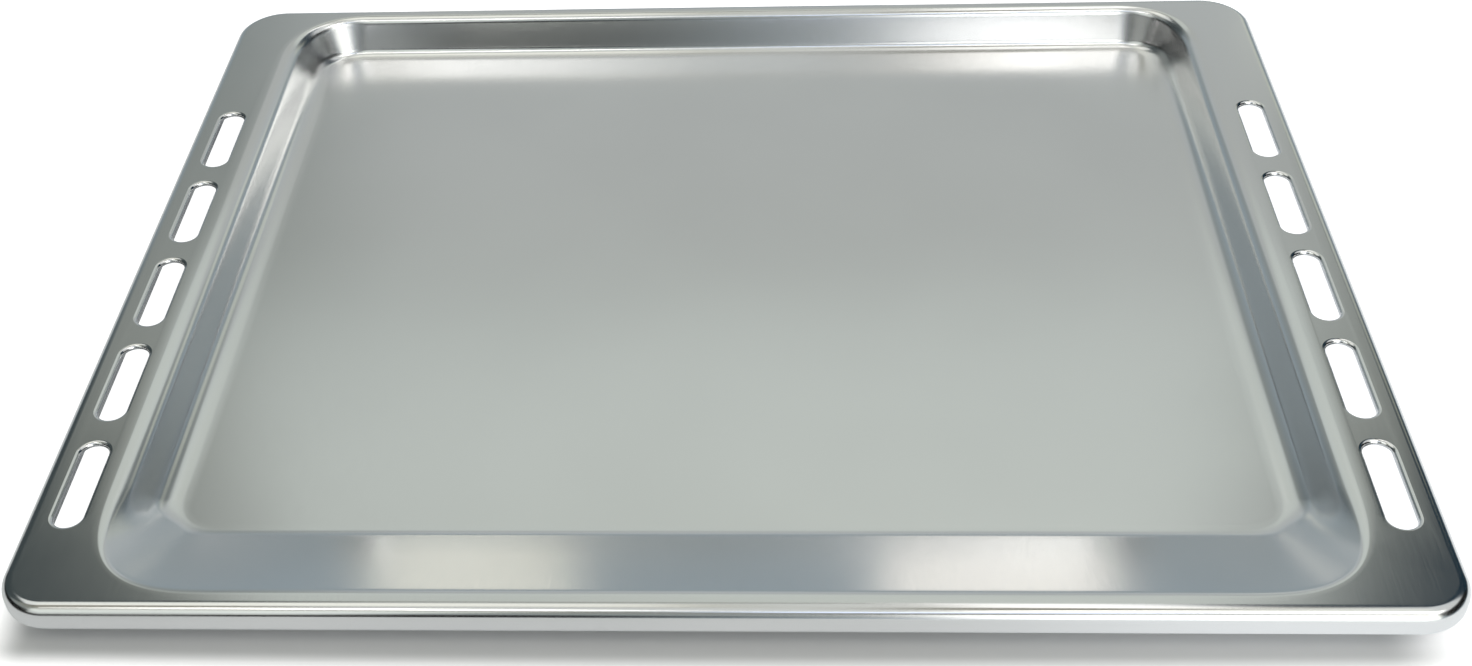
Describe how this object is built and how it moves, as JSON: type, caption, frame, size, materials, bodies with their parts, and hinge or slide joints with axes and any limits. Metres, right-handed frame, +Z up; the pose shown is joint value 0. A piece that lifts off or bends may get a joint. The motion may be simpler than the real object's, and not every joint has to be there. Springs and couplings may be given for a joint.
{
  "type": "oven tray",
  "caption": "Shallow rectangular aluminium oven tray with a rolled wired rim, slotted side flanges, steep side and back walls and a sloping front wall.",
  "frame": {"origin": "under the middle of the tray's outline, on the surface that the floor of the pan stands on", "axes": "+X along the wide side, +Y from the sloping front wall to the back, +Z up"},
  "size_m": [0.465, 0.375, 0.0185],
  "materials": {
    "aluminium_sheet": "satin",
    "steel_wire": "drawn, galvanised"
  },
  "bodies": {
    "root": {"pressed_pan": "aluminium_sheet", "rim_wire": "steel_wire"}
  },
  "joints": []
}
